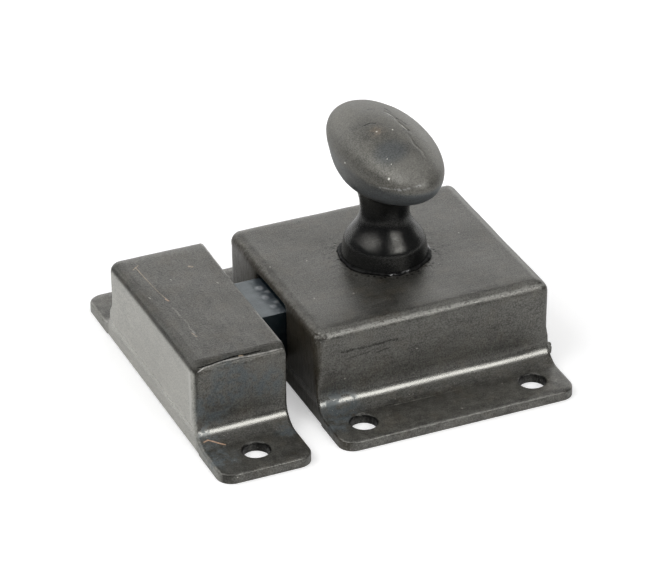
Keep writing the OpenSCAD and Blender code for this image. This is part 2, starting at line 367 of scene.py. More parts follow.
work(case, work_case)
finish_mesh(case)


def feed(tree, socket, value):
    """Gives a socket a value, or links it to the output that feeds it."""
    if isinstance(value, bpy.types.NodeSocket):
        tree.links.new(value, socket)
    else:
        socket.default_value = value


def plug(tree, made, **sockets):
    """Feeds a node's sockets by their names, with _ for a space."""
    for name, value in sockets.items():
        feed(tree, made.inputs[name.replace("_", " ")], value)
    return made


def add_node(tree, kind, settings=None, **sockets):
    """Adds a node: settings are its own properties, sockets hold values or the outputs that feed them."""
    made = tree.nodes.new("ShaderNode" + kind)
    for name, value in (settings or {}).items():
        setattr(made, name, value)
    return plug(tree, made, **sockets)


def maths(tree, operation, a, b=0.0, clamp=False):
    made = add_node(tree, "Math", {"operation": operation, "use_clamp": clamp})
    feed(tree, made.inputs[0], a)
    feed(tree, made.inputs[1], b)
    return made.outputs[0]


def times(tree, product, *others):
    for value in others:
        product = maths(tree, "MULTIPLY", product, value)
    return product


def vectors(tree, operation, a, b=(0.0, 0.0, 0.0)):
    made = add_node(tree, "VectorMath", {"operation": operation})
    feed(tree, made.inputs[0], a)
    feed(tree, made.inputs[1], b)
    return made.outputs["Value" if operation in ("DOT_PRODUCT", "LENGTH", "DISTANCE") else "Vector"]


def scaled(tree, vector, share):
    made = add_node(tree, "VectorMath", {"operation": "SCALE"})
    feed(tree, made.inputs[0], vector)
    feed(tree, made.inputs["Scale"], share)
    return made.outputs["Vector"]


def ranged(tree, value, low, high, to_low=0.0, to_high=1.0):
    """A value eased from the range low to high into the range to_low to to_high."""
    made = add_node(tree, "MapRange", {"interpolation_type": "SMOOTHSTEP"}, Value=value,
                    From_Min=low, From_Max=high, To_Min=to_low, To_Max=to_high)
    return made.outputs["Result"]


def band(tree, value, start, full, fade, end):
    """A mask that comes up from start to full and dies away from fade to end."""
    return times(tree, ranged(tree, value, start, full), ranged(tree, value, end, fade))


def split(tree, vector):
    """The x, y and z of a vector."""
    return add_node(tree, "SeparateXYZ", Vector=vector).outputs


def direction(tree):
    """The x, y and z of the way the surface faces."""
    return split(tree, add_node(tree, "NewGeometry").outputs["Normal"])


def weighed(tree, parts):
    """Sum of values by weight."""
    total = 0.0
    for value, weight in parts:
        total = maths(tree, "ADD", times(tree, value, weight), total)
    return total


def tinted(tree, share, a, b, blend="MIX"):
    made = add_node(tree, "Mix", {"data_type": "RGBA", "blend_type": blend})
    feed(tree, made.inputs[0], share)
    feed(tree, made.inputs[6], a)
    feed(tree, made.inputs[7], b)
    return made.outputs[2]


def over(tree, colour, tint, *shares):
    """A colour with a tint laid over it, by the product of some shares."""
    return tinted(tree, times(tree, *shares), colour, tint)


def new_group(name, vector_inputs, float_inputs, float_outputs):
    """A shader node group with named sockets."""
    tree = bpy.data.node_groups.new(name, "ShaderNodeTree")
    for labels, way, kind in ((vector_inputs, "INPUT", "Vector"), (float_inputs, "INPUT", "Float"),
                              (float_outputs, "OUTPUT", "Float")):
        for label in labels:
            tree.interface.new_socket(label, in_out=way, socket_type="NodeSocket" + kind)
    return tree, tree.nodes.new("NodeGroupInput").outputs, tree.nodes.new("NodeGroupOutput").inputs


def use_group(tree, group, **sockets):
    made = tree.nodes.new("ShaderNodeGroup")
    made.node_tree = group
    return plug(tree, made, **sockets).outputs


def grey(value):
    return (value, value, value, 1.0)


def clouds(tree, vector, size, detail=3.0, rough=0.55):
    """Noise with features of about this size, in metres."""
    made = add_node(tree, "TexNoise", Vector=vector, Scale=1 / size, Detail=detail, Roughness=rough)
    return made.outputs["Fac"]


# Wax rubbed into blackened steel: slow patches, a mottle, streaks along the sheet and a fine grain
wax_skin, come, go = new_group("wax_skin", ("Vector", "Draw"), (), ("Tone", "Height", "Grain"))
patches = clouds(wax_skin, come["Vector"], 9 * MM, 4)
mottle = clouds(wax_skin, come["Vector"], 1.9 * MM, 5, 0.62)
grain = clouds(wax_skin, come["Vector"], 0.23 * MM, 3, 0.65)
drawn = vectors(wax_skin, "MULTIPLY", come["Vector"], come["Draw"])
streaks = clouds(wax_skin, drawn, 0.55 * MM, 4, 0.6)
tone = weighed(wax_skin, [(patches, 0.30), (mottle, 0.30), (streaks, 0.18), (grain, 0.22)])
feed(wax_skin, go["Tone"], tone)
feed(wax_skin, go["Height"], weighed(wax_skin, [(mottle, 0.35), (streaks, 0.08), (grain, 0.57)]))
feed(wax_skin, go["Grain"], weighed(wax_skin, [(grain, 0.85), (streaks, 0.15)]))

# Pale dust caught in the wax: one speck in some of the cells of a fine net
dust, come, go = new_group("dust", ("Vector",), ("Spacing", "Share", "Radius"), ("Mask",))
net = add_node(dust, "TexVoronoi", Vector=come["Vector"], Scale=maths(dust, "DIVIDE", 1.0, come["Spacing"]))
chance = add_node(dust, "SeparateColor", Color=net.outputs["Color"]).outputs[0]
kept = maths(dust, "LESS_THAN", chance, come["Share"])
size = maths(dust, "DIVIDE", come["Radius"], come["Spacing"])
spot = ranged(dust, net.outputs["Distance"], size, times(dust, size, 0.4))
feed(dust, go["Mask"], times(dust, spot, kept))


def flecks(tree, place, spacing, share, radius):
    """Mask of such specks, with their spacing and radius in millimetres."""
    made = use_group(tree, dust, Vector=place, Spacing=spacing * MM, Share=share, Radius=radius * MM)
    return made["Mask"]


# A scratch or a rub between two points, wavering and broken
scratch, come, go = new_group("scratch", ("Vector", "Start", "End"), ("Width", "Waver", "Gaps"), ("Mask",))
drift = add_node(scratch, "TexNoise", Vector=come["Vector"], Scale=1 / (1.6 * MM), Detail=2.0)
shift = vectors(scratch, "SUBTRACT", drift.outputs["Color"], (0.5, 0.5, 0.5))
bent = vectors(scratch, "ADD", come["Vector"], scaled(scratch, shift, come["Waver"]))
line = vectors(scratch, "SUBTRACT", come["End"], come["Start"])
lead = vectors(scratch, "SUBTRACT", bent, come["Start"])
along = maths(scratch, "DIVIDE", vectors(scratch, "DOT_PRODUCT", lead, line),
              vectors(scratch, "DOT_PRODUCT", line, line), clamp=True)
near = vectors(scratch, "ADD", come["Start"], scaled(scratch, line, along))
gap = vectors(scratch, "DISTANCE", bent, near)
stroke = ranged(scratch, gap, come["Width"], times(scratch, come["Width"], 0.3))
broken = ranged(scratch, clouds(scratch, come["Vector"], 0.5 * MM, 3, 0.6), 0.38, 0.52)
whole = maths(scratch, "SUBTRACT", 1.0, come["Gaps"])
feed(scratch, go["Mask"], times(scratch, stroke, maths(scratch, "MAXIMUM", broken, whole)))

WAX_DARK = (0.010, 0.0095, 0.008, 1)
WAX_LIGHT = (0.044, 0.0425, 0.037, 1)
RUB_AND_SHEEN = (0.16, 0.155, 0.14, 1)
DUST = (0.42, 0.40, 0.36, 1)
PALE_WEAR_AND_GLINT = (0.19, 0.187, 0.172, 1)
PALE_RUB = (0.10, 0.096, 0.088, 1)
BLUED = (0.058, 0.070, 0.077, 1)
WAX_BROWN = (0.050, 0.040, 0.026, 1)
BLACK_WAX_AND_SHADE = grey(0.003)
TONE = (0.38, 0.62)


def new_material(name):
    """A material with its node tree, its shader and its Object coordinates."""
    made = bpy.data.materials.new(name)
    made.use_nodes = True
    shader = made.node_tree.nodes["Principled BSDF"]
    place = made.node_tree.nodes.new("ShaderNodeTexCoord").outputs["Object"]
    return made, made.node_tree, shader, place


def within_ball(tree, place, centre, radius):
    """A soft round mask about a point."""
    return ranged(tree, vectors(tree, "DISTANCE", place, centre), radius, 0.35 * radius)


def worn_and_glinting_edges(tree, place, low, high):
    """Edges rubbed lighter, unevenly, with the painted highlight that rounded edges catch."""
    sharp = ranged(tree, add_node(tree, "NewGeometry").outputs["Pointiness"], low, high)
    return times(tree, sharp, ranged(tree, clouds(tree, place, 1.1 * MM, 4), 0.35, 0.65))


def bump(tree, shader, height, depth, strength):
    made = add_node(tree, "Bump", Strength=strength, Distance=depth, Height=height)
    plug(tree, shader, Normal=made.outputs["Normal"])


def dress(piece, material, body, node):
    """Gives a piece its material, its body, the part it stands for and its finish."""
    piece.data.materials.clear()
    piece.data.materials.append(material)
    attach(piece, body)
    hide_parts(node)


WARM = (1.0, 0.985, 0.915, 1)
COOL = (0.90, 0.985, 1.0, 1)


def wax_shine(tree, shader, grain, refraction, share, cool=0.0):
    """The reflection of waxed steel, warm or cool and broken up by its grain: share is what is left of it."""
    level = times(tree, ranged(tree, grain, 0.34, 0.66, 0.32, 0.70), share)
    plug(tree, shader, IOR=refraction, Specular_Tint=tinted(tree, cool, WARM, COOL), Specular_IOR_Level=level)


def less(tree, share, mask, amount):
    """What is left of a share where a mask takes this amount away."""
    return times(tree, share, maths(tree, "SUBTRACT", 1.0, times(tree, mask, amount)))


def hollow_bend(tree, place):
    """Masks of the hollow bends: the rubbed upper part, and the lower part where dirt has gathered."""
    height = split(tree, place)["Z"]
    rubbed = band(tree, height, 2.5 * MM, 2.9 * MM, 3.6 * MM, 4.4 * MM)
    dirty = band(tree, height, 1.68 * MM, 1.85 * MM, 2.45 * MM, 2.9 * MM)
    return rubbed, dirty


def in_holes(tree, place, hole):
    """Mask of the screw holes, from the place of one and its mirror images."""
    flat = vectors(tree, "MULTIPLY", vectors(tree, "ABSOLUTE", place), (1.0, 1.0, 0.0))
    return ranged(tree, vectors(tree, "DISTANCE", flat, hole), 2.4 * MM, 2.15 * MM)


def scratched(tree, place, strokes, seat, bite, colour, shine, height):
    """Draws strokes (points, width, waver, gaps, tint, dullness), in millimetres from a seat, into a finish."""
    for points, width, waver, gaps, tint, dull in strokes:
        points = [seat + Vector(point) * MM for point in points]
        for start, end in zip(points, points[1:]):
            mark = use_group(tree, scratch, Vector=place, Start=start, End=end,
                             Width=width * MM, Waver=waver * MM, Gaps=gaps)["Mask"]
            colour = tinted(tree, mark, colour, tint)
            shine = less(tree, shine, mark, dull)
            height = maths(tree, "SUBTRACT", height, times(tree, mark, bite * dull))
    return colour, shine, height


def waxed_steel(name, draw, hole, blued_spots, scratches, extra):
    """Blackened, waxed sheet with dust, rubbed edges with a painted highlight, painted shade in the screw
    holes, blued spots (centre, radius) and scratches.
    """
    made, tree, shader, place = new_material(name)
    skin = use_group(tree, wax_skin, Vector=place, Draw=draw)
    colour = tinted(tree, ranged(tree, skin["Tone"], 0.36, 0.66), WAX_DARK, WAX_LIGHT)
    brown = ranged(tree, clouds(tree, place, 3.1 * MM, 5, 0.6), 0.48, 0.66)
    colour = over(tree, colour, WAX_BROWN, brown, 0.4)
    colour, shine = extra(tree, place, skin, colour)
    shine = times(tree, shine, ranged(tree, skin["Tone"], *TONE, 0.90, 1.10))
    low = ranged(tree, split(tree, place)["Z"], 2.3 * MM, 1.7 * MM)
    patchy = ranged(tree, clouds(tree, place, 1.4 * MM, 5, 0.65), 0.36, 0.64, 0.74, 1.28)
    shine = times(tree, shine, ranged(tree, low, 0.0, 1.0, 1.0, patchy))
    cool = 0.0
    for centre, radius in blued_spots:
        spot = within_ball(tree, place, Vector(centre) * MM, radius * MM)
        spot = times(tree, spot, ranged(tree, clouds(tree, place, 1.5 * MM, 5, 0.65), 0.40, 0.60))
        colour = over(tree, colour, BLUED, spot, 0.65)
        cool = maths(tree, "MAXIMUM", cool, spot)
    # Edges rubbed lighter: wear, with a painted highlight.
    worn_and_lit_edges = worn_and_glinting_edges(tree, place, 0.53, 0.62)
    colour = over(tree, colour, RUB_AND_SHEEN, worn_and_lit_edges, 0.5)
    rubbed, dirty = hollow_bend(tree, place)
    shine = less(tree, shine, dirty, 0.38)
    shine = times(tree, shine, ranged(tree, rubbed, 0.0, 1.0, 1.0, 1.3))
    # Painted shade in the screw holes: their walls and lips go black.
    painted_hole_shade = in_holes(tree, place, hole)
    colour = tinted(tree, painted_hole_shade, colour, BLACK_WAX_AND_SHADE)
    shine = less(tree, shine, painted_hole_shade, 0.45)
    colour, shine, height = scratched(
        tree, place, scratches, Vector(), 0.5, colour, shine, skin["Height"])
    specks = flecks(tree, place, 0.65, 0.40, 0.10)
    big_specks = flecks(tree, place, 3.2, 0.5, 0.18)
    thick = ranged(tree, dirty, 0.0, 1.0, 0.34, 0.62)
    colour = over(tree, colour, DUST, specks, thick)
    colour = over(tree, colour, DUST, big_specks, 0.85)
    satin = ranged(tree, skin["Tone"], 0.36, 0.66, 0.28, 0.42)
    rough = ranged(tree, cool, 0.0, 1.0, less(tree, satin, rubbed, 0.30), 0.60)
    plug(tree, shader, Base_Color=colour, Roughness=rough)
    grain = ranged(tree, rubbed, 0.0, 1.0, skin["Grain"], 0.52)
    wax_shine(tree, shader, grain, 2.05, shine, cool)
    bump(tree, shader, ranged(tree, rubbed, 0.0, 1.6, height, 0.5), 0.12 * MM, 0.45)
    return made


CASE_BLUED = [((-16.6, -19.8, 2.6), 4.6), ((-18.2, -22.5, 1.6), 3.6)]
CASE_SCRATCHES = [
    ([(-15.8, -18.0, 11.3), (-6.3, -18.0, 11.4)], 0.30, 0.6, 0.45, WAX_DARK, 0.55),
    ([(-10.4, -18.0, 9.8), (-7.6, -18.0, 10.1)], 0.20, 0.5, 0.7, WAX_DARK, 0.42),
    ([(-15.2, -18.0, 9.9), (-9.5, -18.0, 10.6)], 0.16, 0.5, 1.0, WAX_DARK, 0.30),
    ([(-12.95, -18.0, 3.85), (-12.75, -18.0, 3.95)], 0.24, 0.2, 0.0, BLACK_WAX_AND_SHADE, 0.9),
    # A pale line along the front fold: wear, with a painted highlight.
    ([(-18.8, -17.5, 14.8), (19.4, -17.5, 14.8)], 0.42, 0.5, 1.0, PALE_WEAR_AND_GLINT, 0.2),
    ([(-17.0, -28.4, 1.5), (17.5, -28.4, 1.5)], 0.24, 0.6, 1.0, PALE_RUB, 0.2),
]


def crumbs(tree, place, skin, colour):
    """Dark crumbs of wax scattered round the knob's foot, pale crust on the welded corner, dull end flap."""
    away = vectors(tree, "DISTANCE", place, Vector((0, SPINDLE_Y, case_high.z)))
    ring = ranged(tree, away, 13.0 * MM, 7.0 * MM)
    near = ranged(tree, away, 9.4 * MM, 7.4 * MM)
    bits = flecks(tree, place, 0.8, 0.55, 0.34)
    spread = times(tree, near, bits)
    smear = times(tree, ring, ranged(tree, clouds(tree, place, 0.8 * MM, 5, 0.7), 0.46, 0.64))
    crust = flecks(tree, place, 0.4, 0.5, 0.16)
    crust = times(tree, crust, within_ball(tree, place, WELD_AT, WELD_REACH))
    colour = over(tree, colour, PALE_WEAR_AND_GLINT, crust, 0.8)
    shine = less(tree, less(tree, 1.0, spread, 0.9), smear, 0.55)
    grit = flecks(tree, place, 0.9, 0.4, 0.17)
    colour = over(tree, colour, DUST, grit, ring, 0.45)
    flap = ranged(tree, direction(tree)["X"], -0.25, -0.75)
    upright = clouds(tree, vectors(tree, "MULTIPLY", place, (1.0, 1.0, 0.22)), 0.5 * MM, 4)
    colour = over(tree, colour, WAX_BROWN, flap, 0.4)
    shine = less(tree, shine, times(tree, flap, ranged(tree, upright, *TONE, 0.36, 0.72)), 1.0)
    return tinted(tree, spread, colour, BLACK_WAX_AND_SHADE), shine


CASE_DRAW = (0.22, 0.8, 1.0)
case_hole = (case_high.x - CASE_HOLE_END, case_high.y - CASE_HOLE_EDGE, 0.0)
case_steel = waxed_steel("waxed_steel_case", CASE_DRAW, case_hole, CASE_BLUED, CASE_SCRATCHES, crumbs)
dress(case, case_steel, "housing", "case")


# Tack welds
# Two small crusted welds left on the case: one at the corner beside the keep, one that holds the
# foot of the far end flap.
def weld(name, at, size):
    """A rough lump of weld, drawn out along its seam."""
    bpy.ops.mesh.primitive_ico_sphere_add(subdivisions=5, radius=1, location=Vector(at) * MM)
    bpy.context.object.scale = Vector(size) * MM
    lump = settle(name)
    work(lump, lambda place, normal: normal * MM * (
        0.22 * noise.noise(place / (0.7 * MM)) + 0.10 * noise.noise(place / (0.28 * MM))))
    finish_mesh(lump, angle=60)
    lump.data.materials.append(case_steel)
    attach(lump, "housing")


weld("corner_weld", (-18.9, -17.35, 14.6), (1.25, 0.45, 0.36))
weld("flap_weld", (20.0, -17.6, 2.9), (0.75, 0.45, 1.2))


# Keep
# A second folded sheet, narrower and open on the side that faces the bolt, with one screw hole
# in each flange. Its fold along the front has cracked open from the outer corner.
keep_low, keep_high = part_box("keep")
KEEP_FLANGE = 11.25 * MM
KEEP_HOLE_EDGE = 5.25 * MM
KEEP_FOLD = 1.9 * MM
KEEP_EDGE = 0.32 * MM
keep_x = (keep_low.x + keep_high.x) / 2
# Radii by end, and by end and side: the open end keeps the sheet's own edge, the outer is rounder at the back
KEEP_FOLDS = {-1: 1.7 * MM, 1: KEEP_EDGE}
KEEP_CORNERS = {(-1, -1): 1.5 * MM, (-1, 1): 2.2 * MM, (1, -1): KEEP_EDGE, (1, 1): KEEP_EDGE}
keep = hat_block("latch_keep", keep_low, keep_high, KEEP_FLANGE, KEEP_FOLD)
soften_ends(keep, keep_low, keep_high, KEEP_EDGE)
hollow_out(keep, keep_low, keep_high, KEEP_FLANGE, open_end=True)
for hole_y in (keep_low.y + KEEP_HOLE_EDGE, keep_high.y - KEEP_HOLE_EDGE):
    drill(keep, keep_x, hole_y)
lay_grid(keep, keep_low, keep_high, KEEP_FLANGE)


def work_keep(place, normal):
    """Slack sheet, calmer on its ends, with a rounded outer end, and wider at the top of its back."""
    push = slack(place, normal, 8 * MM, 2.4 * MM, 0.15 if abs(normal.x) > 0.5 else 1.0)
    push += file_end(place, keep_low, keep_high, KEEP_FLANGE, KEEP_FOLD, KEEP_FOLDS, KEEP_CORNERS)
    spread = 0.4 * smooth(place.z / keep_high.z) * smooth(place.y / keep_high.y)
    push.x += spread * MM * (place.x - keep_x) / (keep_high.x - keep_x)
    return push


work(keep, work_keep)
finish_mesh(keep)

TAN = (0.32, 0.25, 0.175, 1)
COPPER = (0.52, 0.33, 0.22, 1)
PALE_EDGE = (0.36, 0.35, 0.33, 1)
PAINTED_END_LIGHT = (0.44, 0.435, 0.40, 1)
PAINTED_CORNER_GLINT = (0.46, 0.455, 0.43, 1)
KEEP_BLUED = [((-34.0, -18.0, 10.5), 5.5), ((-37.5, -18.5, 7.0), 4.4), ((-39.2, -20.5, 4.0), 4.0),
              ((-38.6, -24.0, 1.6), 4.0), ((-28.5, -18.0, 9.0), 4.0), ((-26.6, -21.4, 2.2), 2.6)]
# Points of the crack, drawn black as painted shade in its gap, and of its lower lip, drawn pale as a painted
# highlight.
CRACK = [(-40.3, -17.77, 13.74), (-39.6, -17.35, 14.28), (-38.5, -17.39, 14.23), (-36.8, -17.26, 14.35),
         (-35.0, -17.16, 14.43), (-33.4, -17.0, 14.53), (-31.8, -17.09, 14.48), (-29.0, -17.07, 14.49)]
CRACK_LIP = [(-40.2, -17.88, 13.49), (-38.6, -17.58, 14.02), (-36.9, -17.45, 14.18), (-35.1, -17.31, 14.31),
             (-32.0, -17.35, 14.28), (-29.2, -17.43, 14.2), (-25.4, -17.43, 14.2)]
KEEP_SCRATCHES = [
    ([(-37.5, 13.8, 14.8), (-37.2, 8.2, 14.8), (-36.9, 4.5, 14.8), (-36.5, 2.1, 14.8)],
     0.11, 0.12, 0.35, TAN, 0.0),
    ([(-38.1, 13.1, 14.8), (-36.9, 14.0, 14.8)], 0.12, 0.25, 0.7, TAN, 0.0),
    ([(-36.7, 2.6, 14.8), (-36.4, 1.9, 14.8)], 0.20, 0.30, 0.4, COPPER, 0.0),
    ([(-36.8, -0.2, 14.8), (-36.2, -5.6, 14.8), (-36.7, -10.5, 14.8)], 0.19, 0.70, 1.0, RUB_AND_SHEEN, 0.0),
    ([(-36.8, -8.4, 14.8), (-36.4, -9.6, 14.8)], 0.13, 0.40, 0.8, TAN, 0.0),
    ([(-29.6, 10.6, 14.8), (-29.2, 10.3, 14.8)], 0.34, 0.40, 0.6, TAN, 0.0),
    ([(-27.4, 4.2, 14.8), (-27.3, 3.9, 14.8)], 0.16, 0.20, 0.3, DUST, 0.0),
    ([(-38.9, 4.2, 14.8), (-38.8, 3.8, 14.8)], 0.14, 0.20, 0.3, DUST, 0.0),
    ([(-33.8, 8.0, 14.8), (-33.7, 7.6, 14.8)], 0.12, 0.20, 0.3, DUST, 0.0),
    ([(-39.6, -19.6, 2.1), (-38.85, -19.45, 2.22), (-37.5, -20.2, 1.83), (-36.6, -20.9, 1.65)],
     0.17, 0.15, 0.3, COPPER, 0.2),
    # A pale line along the open end's edge: wear, with a painted highlight.
    ([(-25.03, -17.3, 14.74), (-25.03, 17.6, 14.74)], 0.13, 0.1, 0.5, PALE_EDGE, 0.0),
    # A painted highlight down the outer front corner.
    ([(-40.5, -16.5, 13.0), (-40.5, -16.7, 5.0)], 0.55, 0.3, 0.0, PAINTED_CORNER_GLINT, 0.0),
    # A painted highlight on the crack's lower lip, and the crack painted black as the shade in its gap.
    (CRACK_LIP, 0.15, 0.15, 0.45, PALE_EDGE, 0.0),
    (CRACK, 0.17, 0.15, 0.25, BLACK_WAX_AND_SHADE, 0.97),
    ([(-32.5, -17.15, 14.45), (-31.9, -17.2, 14.40)], 0.16, 0.2, 0.3, TAN, 0.2),
]


def painted_lit_end(tree, place, skin, colour):
    """The outer end with painted light where the lamp on the left falls on it, broken by dark spots, and the
    dull folds round the top.
    """
    facing = direction(tree)
    spot = split(tree, place)
    across = maths(tree, "ABSOLUTE", spot["Y"])
    # Painted light: the outer end is lightened where the lamp on the left falls on it, broken by grain and dark
    # spots.
    rubbed = ranged(tree, spot["X"], -39.9 * MM, -40.3 * MM)
    rubbed = times(tree, rubbed, ranged(tree, spot["Z"], 13.9 * MM, 13.2 * MM))
    rubbed = times(tree, rubbed, ranged(tree, skin["Grain"], 0.34, 0.62, 0.60, 1.0))
    rubbed = times(tree, rubbed, ranged(tree, skin["Tone"], *TONE, 0.80, 1.0))
    rubbed = times(tree, rubbed, ranged(tree, across, 18.2 * MM, 19.4 * MM, 1.0, 0.5))
    spots = flecks(tree, place, 1.7, 0.45, 0.20)
    rubbed = less(tree, rubbed, spots, 0.5)
    fold = band(tree, facing["X"], -0.20, -0.55, -0.90, -0.985)
    raised = times(tree, ranged(tree, facing["Z"], 0.3, 0.5), ranged(tree, across, 14 * MM, 15.5 * MM))
    long_fold = times(tree, band(tree, maths(tree, "ABSOLUTE", facing["Y"]), 0.12, 0.35, 0.88, 0.96), raised)
    long_fold = times(tree, long_fold, ranged(tree, across, 18.05 * MM, 17.95 * MM))
    shine = less(tree, less(tree, 1.0, fold, 0.5), long_fold, 0.5)
    return tinted(tree, rubbed, colour, PAINTED_END_LIGHT), shine


KEEP_DRAW = (0.9, 0.15, 0.9)
keep_hole = (-keep_x, keep_high.y - KEEP_HOLE_EDGE, 0.0)
keep_steel = waxed_steel("waxed_steel_keep", KEEP_DRAW, keep_hole, KEEP_BLUED, KEEP_SCRATCHES, painted_lit_end)
dress(keep, keep_steel, "housing", "keep")


# Back plate
# A plain steel plate that closes the underside of the case, with a lug bent up at each side
# and spot-welded to the wall inside.
plate_low, plate_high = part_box("back_plate")
PLATE = 1.2 * MM
PLATE_BEND = 0.6 * MM
LUG_HALF = 8 * MM
plate_edge = plate_high.y - PLATE - PLATE_BEND
plate = new_block(
    "closing_plate", (plate_low.x, -plate_edge, plate_low.z), (plate_high.x, plate_edge, plate_low.z + PLATE))
score(plate, 0, (-LUG_HALF, LUG_HALF))
edit(plate)
for side in (-1, 1):
    pick("faces", lambda f: f.normal.y * side > 0.9 and abs(f.calc_center_median().x) < LUG_HALF)
    pull(0, side * PLATE_BEND, 0)
    pull(0, side * PLATE, 0)
    pick("faces", lambda f: f.normal.z > 0.9 and f.calc_center_median().y * side > plate_high.y - PLATE)
    pull(0, 0, plate_high.z - plate_low.z - PLATE)
join_flat(1)
plate_inner = (plate_high.y - PLATE, plate_low.z + PLATE)
round_edges(lambda e: all(same(abs(p.y), plate_high.y) and same(p.z, plate_low.z) for p in ends(e)),
            PLATE + PLATE_BEND, 6)
round_edges(lambda e: all(same(abs(p.y), plate_inner[0]) and same(p.z, plate_inner[1]) for p in ends(e)),
            PLATE_BEND, 4)
close_edit()
use(plate, "BEVEL", limit_method="ANGLE", angle_limit=math.radians(50), width=0.12 * MM, segments=2)
finish_mesh(plate)

STEEL_DARK = (0.085, 0.082, 0.076, 1)
STEEL_LIGHT = (0.19, 0.185, 0.17, 1)


def rolled_steel(name, dark, light, stretch, rough):
    """Plain steel with grain drawn out along one direction, and a little tarnish."""
    made, tree, shader, place = new_material(name)
    drawn = add_node(tree, "Mapping", Vector=place, Scale=stretch).outputs["Vector"]
    grain_lines = clouds(tree, drawn, 0.25 * MM, 4, 0.6)
    tarnish = clouds(tree, place, 6 * MM, 4, 0.6)
    light_share = ranged(tree, times(tree, maths(tree, "ADD", grain_lines, tarnish), 0.5), 0.35, 0.65)
    plug(tree, shader, Base_Color=tinted(tree, light_share, dark, light), Metallic=0.75,
         Roughness=ranged(tree, tarnish, 0.3, 0.7, rough, rough + 0.16))
    bump(tree, shader, grain_lines, 0.03 * MM, 0.25)
    return made


plain_steel = rolled_steel("plain_steel", STEEL_DARK, STEEL_LIGHT, (0.08, 1.0, 1.0), 0.34)
dress(plate, plain_steel, "housing", "back_plate")


# Spindle, crank plate, crank pin and washer
# Turned and stamped steel, stacked under the case top: the spindle carries the knob, the lever
# on its square turns the pin, and the washer under the bolt's tail is held by the riveted end.
turned_steel = rolled_steel("turned_steel", STEEL_DARK, STEEL_LIGHT, (1.0, 1.0, 0.1), 0.30)
for inner_node in ("spindle", "crank_plate", "crank_pin", "spindle_washer"):
    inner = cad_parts[inner_node]
    inner.data.materials.clear()
    inner.data.materials.append(turned_steel)


# Bolt
# A square steel bar with a bevelled nose and a slotted tail plate, blued by heat and waxed,
# with hammer and weld marks on its top where it comes out of the case. Its raised marks carry
# painted highlights, and its sides and the part inside the slot are painted near black as shade.
bolt_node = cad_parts["bolt"]
bolt = bpy.data.objects.new("sliding_bolt", bolt_node.data.copy())
bpy.context.scene.collection.objects.link(bolt)
bolt_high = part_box("bolt")[1]
BOLT_SHOW = (-26.5 * MM, -17 * MM)
BOLT_GRID = 0.3 * MM
edit(bolt)
bpy.ops.mesh.select_all(action="SELECT")
bpy.ops.mesh.remove_doubles(threshold=NEAR)
join_flat(2)
close_edit()
use(bolt, "BEVEL", limit_method="ANGLE", angle_limit=math.radians(40), width=0.3 * MM, segments=3)
score(bolt, 0, [BOLT_SHOW[0] + k * BOLT_GRID for k in range(32)])
score(bolt, 1, [k * BOLT_GRID for k in range(-18, 19)])
BLOTCHES = [
    (Vector((x * MM, y * MM, bolt_high.z)), reach * MM) for x, y, reach in
    ((-20.0, 1.2, 0.75), (-19.9, -2.3, 0.7), (-21.0, -3.3, 0.8), (-20.8, 2.7, 0.9), (-21.1, -0.4, 0.8))]
STRUCK = (-22.6 * MM, -20.6 * MM)


def work_bolt(place, normal):
    """Raised and sunken marks on the top, where the bar was struck."""
    if normal.z < 0.6:
        return Vector()
    struck = smooth((place.x - STRUCK[0]) / (STRUCK[1] - STRUCK[0]))
    struck *= smooth((BOLT_SHOW[1] - place.x) / (1 * MM))
    push = 0.13 * noise.noise(place / (0.95 * MM)) + 0.06 * noise.noise(place / (0.4 * MM))
    for centre, reach in BLOTCHES:
        push += 0.12 * smooth(1 - (place - centre).length / reach)
    return Vector((0, 0, MM * struck * push))


work(bolt, work_bolt)
finish_mesh(bolt, angle=40)

made, tree, shader, place = new_material("blued_bolt")
skin = use_group(tree, wax_skin, Vector=place, Draw=CASE_DRAW)
BOLT_PAINTED_SHADE = (0.004, 0.009, 0.012, 1)
BOLT_DARK = (0.030, 0.038, 0.046, 1)
BOLT_LIGHT = (0.112, 0.128, 0.134, 1)
BOLT_PAINTED_GLINT = (0.40, 0.41, 0.42, 1)
BOLT_SHINE = (0.92, 0.98, 1.0, 1)
along_bolt = split(tree, place)["X"]
# Painted shade: the sides, and the part of the bar inside the slot, are painted near black.
shown = ranged(tree, along_bolt, -19.45 * MM, -19.85 * MM)
top = times(tree, ranged(tree, direction(tree)["Z"], 0.3, 0.8), shown)
colour = tinted(tree, ranged(tree, skin["Tone"], *TONE), BOLT_DARK, BOLT_LIGHT)
struck = times(tree, ranged(tree, along_bolt, *STRUCK),
               ranged(tree, clouds(tree, place, 1.2 * MM, 5, 0.65), 0.36, 0.56))
colour = over(tree, colour, BOLT_DARK, struck, 0.8)
# Painted highlights: pale, broken patches on the raised marks.
for centre, reach in BLOTCHES:
    pale = times(tree, within_ball(tree, place, centre, reach),
                 ranged(tree, clouds(tree, place, 0.3 * MM, 3), 0.36, 0.64, 0.45, 1.0))
    colour = over(tree, colour, BOLT_PAINTED_GLINT, pale, 0.45)
# Edges rubbed lighter: wear, with a painted highlight.
worn_and_lit_edges = worn_and_glinting_edges(tree, place, 0.52, 0.60)
colour = over(tree, colour, RUB_AND_SHEEN, worn_and_lit_edges, 0.6)
colour = tinted(tree, top, BOLT_PAINTED_SHADE, colour)
specks = flecks(tree, place, 2.0, 0.25, 0.12)
colour = over(tree, colour, DUST, specks, 0.7)
shine = less(tree, ranged(tree, top, 0.0, 1.0, 0.10, 0.56), struck, 0.35)
plug(tree, shader, Base_Color=colour, Roughness=ranged(tree, skin["Tone"], *TONE, 0.30, 0.44),
     IOR=2.1, Specular_IOR_Level=shine, Specular_Tint=BOLT_SHINE)
bump(tree, shader, skin["Height"], 0.12 * MM, 0.5)
dress(bolt, made, "slide_bolt", "bolt")


